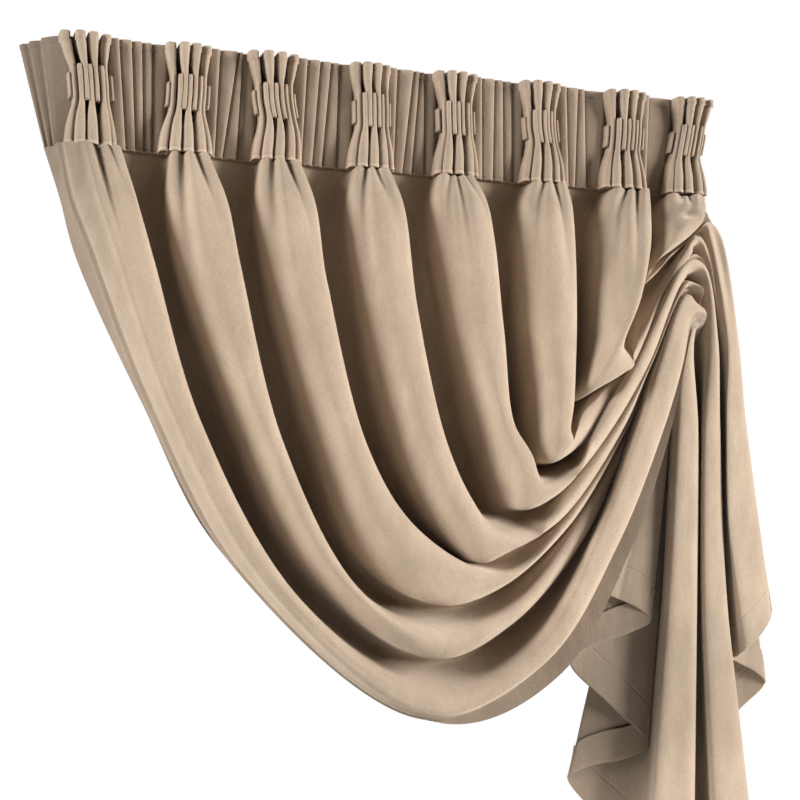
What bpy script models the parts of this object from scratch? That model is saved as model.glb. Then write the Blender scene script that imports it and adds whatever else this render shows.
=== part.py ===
"""Velvet blackout curtain with a smocked pinch-pleat heading, drawn to one side into a swag and a tail.

Metres, +Z up, front towards -Y. The origin is the middle of the heading's top edge.
The tables give millimetres: x along the heading, y in depth (minus is nearer the viewer), z up.
"""
import bmesh
import bpy
import numpy as np

MM = 0.001
NAME = "velvet_curtain"

# Cloth and heading sizes

CLOTH = 2.6
HEADING_DROP = 138.0
HEADING_LEFT = -416.0
HEADING_RIGHT = 472.0

# The heading's left end turns back to the wall: x and y of its top edge and of its foot

FLAP = (
    ((-465, 56), (-438, 8)),
    ((-456, 45), (-436, 6)),
    ((-448, 33), (-434, 3)),
    ((-443, 25), (-431, 1)),
    ((-438, 18), (-430, 1)),
    ((-432, 9), (-428, 1)),
    ((-426, 2), (-425, 1)),
)

# Pinch-pleat clusters, a row each: centre x, widths at top, waist and foot, lean of the foot, number of
# fingers above and below the waist, and how far the cluster stands out at its top and its foot

CLUSTER_COLUMNS = ("x", "top_w", "waist_w", "foot_w", "lean", "above", "below", "out_top", "out_foot")
CLUSTERS = (
    (-388, 62, 52, 60, 7, 4, 5, 32, 34),
    (-267, 56, 53, 65, -4, 4, 5, 30, 36),
    (-153, 64, 55, 60, 1, 4, 4, 33, 33),
    (-25, 50, 50, 58, -2, 4, 4, 30, 34),
    (94, 61, 53, 60, -3, 4, 5, 32, 35),
    (222, 57, 51, 62, -1, 4, 4, 31, 33),
    (347, 60, 59, 67, -6, 4, 5, 33, 36),
    (449, 60, 54, 64, -15, 4, 4, 32, 35),
)
WAIST_TOP = -40.0
WAIST_FOOT = -84.0
CLUSTER_BACK = -0.4
FINGER_GROOVE = 9.0
SLAT_GROOVE = 5.0
GATHER_PITCH = 14.0
GATHER_DEPTH = 7.0
GATHER_STEPS = 5

# Swag lines from the leading edge to the right edge: x and z at each station, down the cloth and up to the tie

STATIONS = ("top", "shoulder", "upper", "middle", "elbow", "bottom", "turn", "rise", "fan", "gather", "tie")
SWAG = {
    "leading_edge": ((-438, -139), (-420, -201), (-402, -275), (-325, -450), (-230, -630), (40, -841),
                     (215, -790), (322, -631), (385, -480), (411, -389), (428, -333)),
    "lip_1": ((-425, -139), (-413, -208), (-395, -260), (-320, -455), (-210, -655), (15, -835),
              (186, -772), (293, -624), (366, -475), (403, -388), (428, -323)),
    "crest_1": ((-355, -139), (-339, -205), (-320, -280), (-265, -475), (-145, -685), (30, -810),
                (164, -756), (258, -613), (325, -471), (361, -387), (415, -288)),
    "lip_2": ((-288, -139), (-294, -199), (-280, -285), (-225, -445), (-135, -640), (25, -760),
              (141, -724), (260, -609), (337, -467), (378, -383), (419, -299)),
    "crest_2": ((-246, -139), (-227, -205), (-215, -280), (-165, -495), (-70, -675), (35, -735),
                (124, -709), (234, -600), (328, -468), (373, -382), (414, -295)),
    "lip_3": ((-173, -139), (-182, -195), (-165, -305), (-120, -470), (-60, -630), (32, -694),
              (120, -681), (231, -597), (320, -469), (364, -384), (419, -282)),
    "crest_3": ((-129, -139), (-116, -197), (-105, -295), (-60, -495), (-10, -590), (70, -650),
                (128, -660), (213, -594), (315, -467), (361, -384), (421, -278)),
    "lip_4": ((-48, -139), (-61, -189), (-45, -325), (-10, -490), (30, -585), (95, -644),
              (130, -633), (211, -592), (311, -467), (357, -384), (423, -274)),
    "crest_4": ((-9, -139), (2, -192), (15, -325), (45, -490), (75, -565), (110, -609),
                (175, -610), (192, -586), (295, -465), (350, -385), (419, -269)),
    "lip_5": ((69, -139), (53, -185), (75, -335), (110, -490), (128, -555), (150, -578),
              (195, -564), (239, -527), (292, -465), (348, -385), (415, -265)),
    "crest_5": ((109, -139), (120, -186), (135, -350), (140, -470), (160, -510), (175, -546),
                (226, -530), (248, -492), (271, -460), (324, -386), (417, -242)),
    "lip_6": ((203, -139), (180, -183), (175, -305), (180, -435), (175, -500), (190, -519),
              (240, -495), (266, -473), (294, -438), (333, -381), (422, -237)),
    "crest_6": ((246, -139), (242, -179), (240, -305), (225, -440), (217, -478), (220, -490),
                (239, -457), (264, -437), (293, -415), (335, -369), (428, -231)),
    "lip_7": ((325, -139), (296, -181), (285, -265), (265, -360), (237, -436), (272, -417),
              (307, -398), (322, -387), (336, -367), (355, -340), (428, -228)),
    "crest_7": ((374, -139), (361, -180), (352, -225), (325, -300), (295, -371), (312, -391),
                (321, -371), (331, -348), (354, -315), (375, -283), (433, -207)),
    "lip_8": ((415, -140.5), (400, -156), (390, -172), (378, -190), (368, -228), (346, -280),
              (362, -267), (383, -244), (406, -225), (429, -205), (452, -187)),
    "crest_8": ((455, -140.5), (447, -163), (438, -184), (415, -206), (385, -232), (368, -243),
                (380, -236), (397, -226), (414, -217), (434, -203), (458, -181)),
    "right_edge": ((478, -140), (474, -146), (472, -152), (470, -157), (468, -163), (467, -167),
                   (466, -170), (466, -173), (466, -176), (467, -179), (468, -183)),
}
FOLDS = range(1, 9)

# Depth of each kind of line at the first six stations, and how far a fold is tucked back there

DEPTH = {
    "leading_edge": (8, -5, -22, -46, -66, -99),
    "right_edge": (-14, -17, -20, -25, -30, -35),
    "lip": (-31, -46, -54, -62, -74, -103),
    "crest": (-38, -64, -78, -98, -108, -111),
    "valley": (6, 9, 11, 12, -8, -44),
    "foot": (2, 4, 2, -8, -34, -66),
}
TUCK = {
    3: (0, 0, 0, 0, 0, 2),
    4: (0, 0, 0, 0, 0, 2),
    6: (0, 0, 0, 0, 4, 6),
    7: (0, 0, 0, 0, 4, 12),
    8: (0, 4, 10, 22, 36, 50),
}

# Depth of every line at the last five stations, where the folds lie over each other on their way to the tie

FAN_DEPTH = {
    "leading_edge": (-76, -70, -65, -61, -57),
    "lip_1": (-98, -92, -84, -73, -61),
    "crest_1": (-106, -98, -89, -78, -65),
    "valley_2": (-46, -34, -26, -22, -28),
    "foot_2": (-60, -46, -36, -28, -32),
    "lip_2": (-86, -66, -50, -40, -38),
    "crest_2": (-97, -79, -56, -43, -40),
    "valley_3": (-56, -58, -46, -38, -36),
    "foot_3": (-66, -64, -52, -44, -40),
    "lip_3": (-85, -76, -64, -57, -47),
    "crest_3": (-100, -86, -71, -61, -50),
    "valley_4": (-66, -74, -68, -59, -48),
    "foot_4": (-74, -77, -70, -60, -50),
    "lip_4": (-92, -86, -78, -67, -55),
    "crest_4": (-102, -94, -84, -73, -61),
    "valley_5": (-60, -70, -74, -66, -52),
    "foot_5": (-70, -76, -77, -68, -54),
    "lip_5": (-96, -92, -87, -77, -60),
    "crest_5": (-106, -100, -94, -83, -67),
    "valley_6": (-50, -50, -50, -48, -44),
    "foot_6": (-60, -58, -56, -52, -48),
    "lip_6": (-88, -80, -72, -64, -56),
    "crest_6": (-92, -84, -74, -66, -58),
    "valley_7": (-56, -60, -64, -60, -50),
    "foot_7": (-64, -66, -69, -65, -54),
    "lip_7": (-84, -80, -75, -69, -58),
    "crest_7": (-84, -76, -70, -66, -59),
    "valley_8": (-30, -36, -40, -40, -36),
    "foot_8": (-36, -42, -46, -46, -40),
    "lip_8": (-62, -66, -64, -60, -54),
    "crest_8": (-48, -48, -48, -50, -50),
    "right_edge": (-38, -40, -42, -44, -46),
}

# Where the rolled edge meets the first fold, and how deep the groove between them is

EDGE_FOOT_SHARE = (0.88, 0.88, 0.88, 0.88, 0.88, 0.95, 1.18, 1.18, 1.12, 1.0, 0.95)
EDGE_FOOT_DEPTH = (-10, -28, -40, -52, -68, -99, -68, -62, -58, -56, -54)

# Where a valley and the foot of the next fold lie between two folds, and where and how far a brow stands out

VALLEY_SHARE = (0.20, 0.24, 0.30, 0.32, 0.45, 0.74, 0.62, 0.50, 0.45, 0.45, 0.40)
FOOT_SHARE = (0.95, 0.97, 0.92, 0.84, 0.86, 0.95, 0.97, 0.92, 0.84, 0.78, 0.72)
BROW_SHARE = 0.58
BROW_OUT = (1, 4, 4, 4, 3, 2, 4, 3, 3, 2, 1)

# How far a valley is tucked in under the fold before it

UNDERCUT = {2: (0, 0, 0, 0, 0, 0, 4, 17, 10, 2, 0)}

# Tail lines, each from the swag line it continues: x, y, z over the tie, below it, at a third, at mid fall
# and at the hem

TAIL = {
    "leading_edge": ((440, -46, -329), (448, -16, -347), (407, -24, -443), (356, -28, -568),
                     (304, -32, -691)),
    "foot_1": ((444, -48, -324), (450, -15, -348), (410, -23, -441), (363, -27, -564), (313, -30, -695)),
    "lip_1": ((447, -53, -321), (452, -15, -348), (413, -22, -440), (369, -26, -560), (323, -28, -699)),
    "crest_1": ((449, -58, -309), (456, -14, -350), (421, -22, -430), (402, -24, -540), (377, -25, -730)),
    "lip_2": ((446, -24, -312), (456, -4, -351), (396, -8, -469), (332, -8, -608), (263, -7, -784)),
    "crest_2": ((446, -28, -302), (461, -4, -350), (432, -8, -469), (406, -10, -651), (379, -10, -901)),
    "lip_3": ((446, -34, -294), (460, 4, -350), (403, 6, -497), (335, 10, -691), (268, 12, -940)),
    "crest_3": ((445, -42, -287), (462, 4, -352), (442, 4, -470), (419, 4, -660), (324, 6, -1002)),
    "foot_4": ((443, -46, -284), (434, -10, -350), (420, -10, -470), (402, -12, -688), (365, -10, -1040)),
    "lip_4": ((444, -52, -283), (424, -38, -350), (411, -42, -470), (393, -41, -703), (358, -36, -1060)),
    "brow_4": ((445, -56, -281), (432, -42, -350), (428, -44, -470), (415, -43, -704), (390, -38, -1086)),
    "crest_4": ((446, -58, -278), (441, -38, -350), (447, -37, -470), (442, -36, -704), (428, -33, -1115)),
    "valley_5": ((440, -26, -268), (460, -2, -349), (464, 6, -470), (459, 12, -708), (468, 14, -1122)),
    "foot_5": ((440, -34, -260), (464, -14, -348), (466, -10, -470), (462, -10, -708), (476, 0, -1114)),
    "lip_5": ((444, -52, -254), (464, -38, -347), (453, -41, -470), (449, -40, -706), (468, -34, -1104)),
    "brow_5": ((447, -58, -251), (473, -42, -346), (468, -43, -465), (467, -42, -706), (494, -37, -1086)),
    "crest_5": ((449, -58, -246), (481, -37, -345), (483, -36, -457), (491, -34, -706), (534, -28, -1065)),
    "lip_6": ((446, -46, -240), (488, 2, -346), (489, 12, -468), (495, 24, -682), (507, 30, -910)),
    "crest_6": ((446, -54, -234), (504, -4, -346), (531, 4, -454), (559, 10, -654), (583, 16, -830)),
    "lip_7": ((443, -34, -228), (494, -6, -346), (500, -4, -457), (504, -2, -624), (518, 2, -790)),
    "crest_7": ((449, -54, -214), (491, -20, -345), (498, -20, -457), (500, -20, -622), (515, -16, -786)),
    "foot_8": ((458, -42, -207), (490, -34, -344), (494, -34, -456), (496, -34, -616), (513, -28, -781)),
    "lip_8": ((465, -48, -205), (493, -41, -343), (489, -42, -456), (490, -43, -606), (519, -36, -774)),
    "brow_8": ((474, -43, -200), (504, -40, -342), (507, -40, -455), (514, -41, -603), (544, -35, -755)),
    "crest_8": ((483, -43, -198), (514, -36, -341), (525, -34, -454), (545, -34, -608), (565, -28, -735)),
    "right_edge": ((488, -36, -197), (519, -27, -340), (531, -25, -452), (554, -24, -618), (574, -20, -724)),
}

# How many rows and columns the solids get

ROWS_PER_STRETCH = (2, 2, 3, 4, 6, 5, 3, 3, 2, 3, 3, 2, 4, 5, 3)
COLUMNS_AFTER = {"leading": 2, "valley": 1, "foot": 1, "lip": 2, "brow": 1, "crest": 2}


def spline_between(before, start, end, after, share):
    """Centripetal Catmull-Rom point between start and end, for arrays of points."""
    def knot(p, q):
        return np.maximum(np.linalg.norm(q - p, axis=-1, keepdims=True), 1e-6) ** 0.5

    t1 = knot(before, start)
    t2 = t1 + knot(start, end)
    t3 = t2 + knot(end, after)
    t = t1 + (t2 - t1) * share
    a1 = (t1 - t) / t1 * before + t / t1 * start
    a2 = (t2 - t) / (t2 - t1) * start + (t - t1) / (t2 - t1) * end
    a3 = (t3 - t) / (t3 - t2) * end + (t - t2) / (t3 - t2) * after
    b1 = (t2 - t) / t2 * a1 + t / t2 * a2
    b2 = (t3 - t) / (t3 - t1) * a2 + (t - t1) / (t3 - t1) * a3
    return (t2 - t) / (t2 - t1) * b1 + (t - t1) / (t2 - t1) * b2


def smooth_along(points, counts):
    """Points on a smooth curve through points (first axis), with counts[i] steps in stretch i."""
    first = 2 * points[0] - points[1]
    last = 2 * points[-1] - points[-2]
    padded = np.concatenate([first[None], points, last[None]])
    rows = []
    for i, count in enumerate(counts):
        for step in range(count):
            rows.append(spline_between(*padded[i:i + 4], step / count))
    rows.append(points[-1])
    return np.array(rows)


def line_kind(name):
    return name.split("_")[0] if name not in DEPTH else name


def swag_line(name):
    """The station points of one drawn line, with its depth."""
    early = np.array(DEPTH[line_kind(name)], float)
    if name[-1].isdigit():
        early += TUCK.get(int(name[-1]), 0)
    depth = np.concatenate([early, FAN_DEPTH[name]])
    flat = np.array(SWAG[name], float)
    return np.column_stack([flat[:, 0], depth, flat[:, 1]])


def between_folds(kind, share, fold, last, lip):
    """A valley or a foot between one fold's crest and the next one's lip."""
    share = np.array(share)[:, None]
    line = last * (1 - share) + lip * share
    tuck = np.maximum(TUCK.get(fold - 1, 0), TUCK.get(fold, 0))
    line[:, 1] = np.concatenate([DEPTH[kind] + tuck, FAN_DEPTH[f"{kind}_{fold}"]])
    return line


def swag_lines():
    """All lines across the swag in order: edge, then valley, foot, lip, brow and crest of each fold."""
    edge = swag_line("leading_edge")
    share = np.array(EDGE_FOOT_SHARE)[:, None]
    groove = edge * (1 - share) + swag_line("lip_1") * share
    groove[:, 1] = EDGE_FOOT_DEPTH
    lines = {"leading_edge": edge, "foot_1": groove}
    for fold in FOLDS:
        lip = swag_line(f"lip_{fold}")
        crest = swag_line(f"crest_{fold}")
        if fold > 1:
            last = lines[f"crest_{fold - 1}"]
            valley = between_folds("valley", VALLEY_SHARE, fold, last, lip)
            valley[:, 0] += UNDERCUT.get(fold, 0)
            lines[f"valley_{fold}"] = valley
            lines[f"foot_{fold}"] = between_folds("foot", FOOT_SHARE, fold, last, lip)
        brow = lip * (1 - BROW_SHARE) + crest * BROW_SHARE
        brow[:, 1] = np.minimum(crest[:, 1], lip[:, 1]) - np.array(BROW_OUT)
        lines[f"lip_{fold}"] = lip
        lines[f"brow_{fold}"] = brow
        lines[f"crest_{fold}"] = crest
    lines["right_edge"] = swag_line("right_edge")
    return lines


def tail_lines(names):
    """Tail points for every swag line: those in the table, the rest on round folds between them."""
    given = [i for i, name in enumerate(names) if name in TAIL]
    known = np.array([TAIL[names[i]] for i in given], float)
    return smooth_along(known, np.diff(given))


def panel_rows():
    """Every line's points down the whole cloth, as an array of rows by lines."""
    lines = swag_lines()
    points = np.concatenate([list(lines.values()), tail_lines(list(lines))], axis=1)
    return smooth_along(points.transpose(1, 0, 2), ROWS_PER_STRETCH)


def panel_grid():
    """The panel's front surface, with a few points between each line and the next."""
    rows = panel_rows()
    across = rows.transpose(1, 0, 2)
    names = list(swag_lines())
    counts = [COLUMNS_AFTER[name.split("_")[0]] for name in names[:-1]]
    grid = smooth_along(across, counts)
    return grid.transpose(1, 0, 2)


def velvet(name, colour):
    material = bpy.data.materials.new(name)
    material.use_nodes = True
    shader = material.node_tree.nodes["Principled BSDF"]
    shader.inputs["Base Color"].default_value = (*colour, 1.0)
    shader.inputs["Roughness"].default_value = 0.9
    shader.inputs["Metallic"].default_value = 0.0
    return material


def grid_mesh(grid):
    """A bmesh grid primitive whose points take the places in grid, an array of rows by columns."""
    rows, columns = grid.shape[:2]
    mesh = bmesh.new()
    made = bmesh.ops.create_grid(mesh, x_segments=columns - 1, y_segments=rows - 1, size=1.0)
    order = sorted(made["verts"], key=lambda v: (-round(v.co.y, 6), round(v.co.x, 6)))
    for vertex, place in zip(order, grid.reshape(-1, 3) * MM):
        vertex.co = place
    return mesh


def finish_object(name, mesh, material, collection, parent, place=(0.0, 0.0, 0.0)):
    data = bpy.data.meshes.new(name)
    mesh.to_mesh(data)
    mesh.free()
    data.materials.append(material)
    data.shade_smooth()
    piece = bpy.data.objects.new(name, data)
    piece.location = place
    piece.parent = parent
    collection.objects.link(piece)
    return piece


def add_thickness(piece):
    """Cloth thickness behind the drawn front surface."""
    solidify = piece.modifiers.new("cloth", "SOLIDIFY")
    solidify.thickness = CLOTH * MM
    solidify.offset = -1.0


def build_panel(material, collection, parent):
    panel = finish_object("panel", grid_mesh(panel_grid()), material, collection, parent)
    add_thickness(panel)


def finger_wave(share, fingers):
    """Height 0 to 1 of a row of round fingers across a width."""
    return np.abs(np.sin(np.pi * fingers * share)) ** 0.6


def cluster_grid(row):
    """Front of one cluster: fingers above and below, slats at the waist."""
    c = dict(zip(CLUSTER_COLUMNS, row))
    levels = (0, WAIST_TOP + 0.5, WAIST_TOP - 0.5, WAIST_FOOT + 0.5, WAIST_FOOT - 0.5, -HEADING_DROP)
    across = np.linspace(0, 1, 37)
    rows = []
    for z in levels:
        down = -z / HEADING_DROP
        widths = (c["top_w"], c["waist_w"], c["waist_w"] - 1, c["foot_w"])
        width = np.interp(-z, (0, 40, 84, HEADING_DROP), widths)
        out = np.interp(-z, (0, 40, 84, HEADING_DROP), (c["out_top"], 27, 27, c["out_foot"]))
        if z > WAIST_TOP:
            wave = finger_wave(across, c["above"]) * FINGER_GROOVE
        elif z > WAIST_FOOT:
            wave = finger_wave(across, c["above"] + c["below"]) * SLAT_GROOVE
        else:
            wave = finger_wave(across, c["below"]) * FINGER_GROOVE
        shoulder = np.minimum(1, 12 * np.minimum(across, 1 - across)) ** 0.5
        y = CLUSTER_BACK - 6 - (out - 16) * shoulder - wave
        x = c["lean"] * (down - 0.45) + (across - 0.5) * width
        rows.append(np.column_stack([x, y, np.full_like(x, z)]))
    return np.array(rows)


def build_cluster(number, row, material, collection, parent):
    """One cluster: its front grid, drawn back to a flat face that lies on the band."""
    mesh = grid_mesh(cluster_grid(row))
    front = list(mesh.faces)
    drawn = bmesh.ops.extrude_face_region(mesh, geom=front)["geom"]
    for item in drawn:
        if isinstance(item, bmesh.types.BMVert):
            item.co.y = CLUSTER_BACK * MM
    bmesh.ops.recalc_face_normals(mesh, faces=mesh.faces)
    place = (row[0] * MM, 0.0, 0.0)
    cluster = finish_object(f"pleat_cluster_{number}", mesh, material, collection, parent, place)
    cluster.data.set_sharp_from_angle(angle=0.9)


def gathered_band():
    """Plan points x, y of the band: round gathers between the clusters, flat cloth behind them."""
    starts = [HEADING_LEFT]
    ends = []
    for row in CLUSTERS:
        seat = max(row[1:4]) / 2 + 2 + 0.6 * abs(row[4])
        ends.append(row[0] - seat)
        starts.append(row[0] + seat)
    ends.append(HEADING_RIGHT)
    points = []
    for start, end in zip(starts, ends):
        if end <= start:
            continue
        gathers = max(1, round((end - start) / GATHER_PITCH))
        for step in range(gathers * GATHER_STEPS + 1):
            swell = abs(np.sin(np.pi * step / GATHER_STEPS)) ** 0.7
            points.append((start + (end - start) * step / (gathers * GATHER_STEPS), -GATHER_DEPTH * swell))
    if points[-1][0] < HEADING_RIGHT:
        points.append((HEADING_RIGHT, 0.0))
    return points


def build_band(material, collection, parent):
    gathered = [(point, point) for point in gathered_band()]
    rows = []
    for level, z in enumerate((0, -HEADING_DROP)):
        rows.append([(*column[level], z) for column in FLAP + tuple(gathered)])
    band = finish_object("heading_band", grid_mesh(np.array(rows, float)), material, collection, parent)
    add_thickness(band)


def main():
    for old in list(bpy.data.objects):
        bpy.data.objects.remove(old, do_unlink=True)
    collection = bpy.data.collections.new(NAME)
    bpy.context.scene.collection.children.link(collection)
    top = bpy.data.objects.new("heading_top", None)
    collection.objects.link(top)
    build_panel(velvet("panel_velvet", (0.47, 0.35, 0.245)), collection, top)
    build_band(velvet("heading_velvet", (0.42, 0.31, 0.215)), collection, top)
    pleats = velvet("pleat_velvet", (0.49, 0.37, 0.26))
    for number, row in enumerate(CLUSTERS, 1):
        build_cluster(number, row, pleats, collection, top)


main()
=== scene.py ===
"""Looks of the velvet curtain: cloth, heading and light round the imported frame.

Metres in the frame, +Z up, front towards -Y. The tables give millimetres, as x along the heading,
y in depth (minus is nearer the viewer) and z up from the heading's top edge.
"""
import math

import bpy
import numpy as np
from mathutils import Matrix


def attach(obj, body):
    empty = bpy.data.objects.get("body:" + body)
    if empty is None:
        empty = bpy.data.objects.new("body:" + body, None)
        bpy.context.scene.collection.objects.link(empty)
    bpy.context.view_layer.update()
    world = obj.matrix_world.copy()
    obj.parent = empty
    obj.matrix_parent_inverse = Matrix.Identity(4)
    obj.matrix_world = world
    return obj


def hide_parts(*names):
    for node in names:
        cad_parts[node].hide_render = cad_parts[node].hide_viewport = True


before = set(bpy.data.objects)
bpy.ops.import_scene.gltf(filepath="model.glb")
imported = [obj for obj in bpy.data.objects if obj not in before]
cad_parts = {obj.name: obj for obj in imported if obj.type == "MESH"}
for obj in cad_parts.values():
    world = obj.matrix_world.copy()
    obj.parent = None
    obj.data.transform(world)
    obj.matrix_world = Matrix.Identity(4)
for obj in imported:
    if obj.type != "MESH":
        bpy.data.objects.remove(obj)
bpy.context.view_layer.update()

MM = 0.001
BODY = "root"

# Camera, light and stage

CAMERA_PLACE = (-0.625, -1.765, -0.56)
CAMERA_TILT = 93.75
CAMERA_TURN = -20.1
CAMERA_LENS = 64.8
SENSOR = 36.0
AIM = (0.05, 0.0, -0.5)
FLOOR_LEVEL = -1.6
FLOOR_SIZE = 3.2

# Light, a row each: name, direction from the curtain (azimuth from the front, rise), distance, size,
# power, colour

LIGHTS = (
    ("left", -75, 20, 5.0, 1.6, 330, (1.0, 0.98, 0.96)),
    ("right", 61, 9, 5.0, 2.2, 475, (1.0, 0.97, 0.94)),
    ("low", 20, -30, 5.0, 2.0, 18, (1.0, 0.97, 0.94)),
    ("back", 170, 25, 5.0, 2.5, 260, (1.0, 0.98, 0.96)),
)

# Light from all round, the white that is seen there, and the floor's paint with its noise and shades

AMBIENT = 0.006
AMBIENT_COLOUR = (1.0, 0.98, 0.95, 1.0)
SEEN_COLOUR = (1.0, 1.0, 1.0, 1.0)
FLOOR_COLOUR = (0.86, 0.85, 0.83, 1.0)
FLOOR_ROUGHNESS = 0.9
FLOOR_NOISE = (6.0, 4.0)
FLOOR_SHADES = (0.3, 0.7, 0.97, 1.0)

# Velvet: gloss and sheen, then scale, detail and roughness of its nap, its grain and its pile

ROUGHNESS = 0.85
SPECULAR = 0.15
SHEEN = 0.5
SHEEN_ROUGHNESS = 0.45
SHEEN_TINT = (0.95, 0.84, 0.72, 1.0)
NAP_STRETCH = (1.0, 1.0, 0.45)
NAP = (30.0, 4.0, 0.62)
GRAIN = (520.0, 1.0, 0.6)
PILE = (1500.0, 0.0, 0.5)

# Where the nap's noise is dark and where it is light, and how the grain's noise shades the colour

NAP_DARK_AT = 0.32
NAP_LIGHT_AT = 0.68
GRAIN_SHADES = (0.3, 0.7, 0.93, 1.06)

# Bumps of the nap, the grain and the pile: strength and depth in metres

NAP_BUMP = (0.3, 0.005)
GRAIN_BUMP = (0.25, 0.0006)
PILE_BUMP = (0.3, 0.0005)

# Each cloth's light and dark colour, and rows of painted shade and light on it: axis, start and end along it
# in metres, and how bright the cloth is at either

PANEL_COLOURS = ((0.475, 0.375, 0.285), (0.395, 0.31, 0.23))
PANEL_PAINTED_SHADING = (
    ("X", -0.44, -0.33, 0.78, 1.0),
    ("X", 0.25, 0.40, 1.0, 0.9),
    ("Z", -0.25, -0.14, 1.0, 0.86),
    ("Z", -0.80, -0.68, 0.84, 1.0),
    ("Z", -0.94, -0.87, 1.19, 1.0),
)
# The heading's and the pleats' colours are the panel's velvet painted darker, as painted shade
HEADING_SHADED_COLOURS = ((0.36, 0.282, 0.214), (0.30, 0.232, 0.173))
HEADING_PAINTED_SHADING = (("X", -0.45, -0.36, 0.53, 1.0),)
PLEAT_SHADED_COLOURS = ((0.40, 0.315, 0.24), (0.33, 0.258, 0.194))
PLEAT_PAINTED_SHADING = (
    ("X", -0.42, -0.30, 0.92, 1.0),
    ("X", -0.40, 0.45, 1.10, 0.93),
    ("Z", -0.1342, -0.1336, 1.22, 1.0),
)

# How bright the panel is where shade is painted on it, and how wide the painted shade's soft border is

PAINTED_SHADE_MARK = "painted_shade_mark"
PAINTED_SHADE_FACTOR = 0.70
PAINTED_SHADE_BORDER = 3.0

# Swag lines from the leading edge to the right edge: x and z at each station, down the cloth and up
# to the tie. The stations are top, shoulder, upper, middle, elbow and bottom, then turn, rise, fan,
# gather and tie.

SWAG = {
    "leading_edge": ((-438, -139), (-420, -201), (-402, -275), (-325, -450), (-230, -630), (40, -841),
                     (215, -790), (322, -631), (385, -480), (411, -389), (428, -333)),
    "lip_1": ((-425, -139), (-413, -208), (-395, -260), (-320, -455), (-210, -655), (15, -835),
              (186, -772), (293, -624), (366, -475), (403, -388), (428, -323)),
    "crest_1": ((-355, -139), (-339, -205), (-320, -280), (-265, -475), (-145, -685), (30, -810),
                (164, -756), (258, -613), (325, -471), (361, -387), (415, -288)),
    "lip_2": ((-288, -139), (-294, -199), (-280, -285), (-225, -445), (-135, -640), (25, -760),
              (141, -724), (260, -609), (337, -467), (378, -383), (419, -299)),
    "crest_2": ((-246, -139), (-227, -205), (-215, -280), (-165, -495), (-70, -675), (35, -735),
                (124, -709), (234, -600), (328, -468), (373, -382), (414, -295)),
    "lip_3": ((-173, -139), (-182, -195), (-165, -305), (-120, -470), (-60, -630), (32, -694),
              (120, -681), (231, -597), (320, -469), (364, -384), (419, -282)),
    "crest_3": ((-129, -139), (-116, -197), (-105, -295), (-60, -495), (-10, -590), (70, -650),
                (128, -660), (213, -594), (315, -467), (361, -384), (421, -278)),
    "lip_4": ((-48, -139), (-61, -189), (-45, -325), (-10, -490), (30, -585), (95, -644),
              (130, -633), (211, -592), (311, -467), (357, -384), (423, -274)),
    "crest_4": ((-9, -139), (2, -192), (15, -325), (45, -490), (75, -565), (110, -609),
                (175, -610), (192, -586), (295, -465), (350, -385), (419, -269)),
    "lip_5": ((69, -139), (53, -185), (75, -335), (110, -490), (128, -555), (150, -578),
              (195, -564), (239, -527), (292, -465), (348, -385), (415, -265)),
    "crest_5": ((109, -139), (120, -186), (135, -350), (140, -470), (160, -510), (175, -546),
                (226, -530), (248, -492), (271, -460), (324, -386), (417, -242)),
    "lip_6": ((203, -139), (180, -183), (175, -305), (180, -435), (175, -500), (190, -519),
              (240, -495), (266, -473), (294, -438), (333, -381), (422, -237)),
    "crest_6": ((246, -139), (242, -179), (240, -305), (225, -440), (217, -478), (220, -490),
                (239, -457), (264, -437), (293, -415), (335, -369), (428, -231)),
    "lip_7": ((325, -139), (296, -181), (285, -265), (265, -360), (237, -436), (272, -417),
              (307, -398), (322, -387), (336, -367), (355, -340), (428, -228)),
    "crest_7": ((374, -139), (361, -180), (352, -225), (325, -300), (295, -371), (312, -391),
                (321, -371), (331, -348), (354, -315), (375, -283), (433, -207)),
    "lip_8": ((415, -140.5), (400, -156), (390, -172), (378, -190), (368, -228), (346, -280),
              (362, -267), (383, -244), (406, -225), (429, -205), (452, -187)),
    "crest_8": ((455, -140.5), (447, -163), (438, -184), (415, -206), (385, -232), (368, -243),
                (380, -236), (397, -226), (414, -217), (434, -203), (458, -181)),
    "right_edge": ((478, -140), (474, -146), (472, -152), (470, -157), (468, -163), (467, -167),
                   (466, -170), (466, -173), (466, -176), (467, -179), (468, -183)),
}
FOLDS = range(1, 9)

# Depth of each kind of line at the first six stations, and how far a fold is tucked back there

DEPTH = {
    "leading_edge": (8, -5, -22, -46, -66, -99),
    "right_edge": (-14, -17, -20, -25, -30, -35),
    "lip": (-31, -46, -54, -62, -74, -103),
    "crest": (-38, -64, -78, -98, -108, -111),
    "valley": (6, 9, 11, 12, -8, -44),
    "foot": (2, 4, 2, -8, -34, -66),
}
TUCK = {
    3: (0, 0, 0, 0, 0, 2),
    4: (0, 0, 0, 0, 0, 2),
    6: (0, 0, 0, 0, 4, 6),
    7: (0, 0, 0, 0, 4, 12),
    8: (0, 4, 10, 22, 36, 50),
}

# Depth of every line at the last five stations, where the folds lie over each other on their way to the tie

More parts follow.
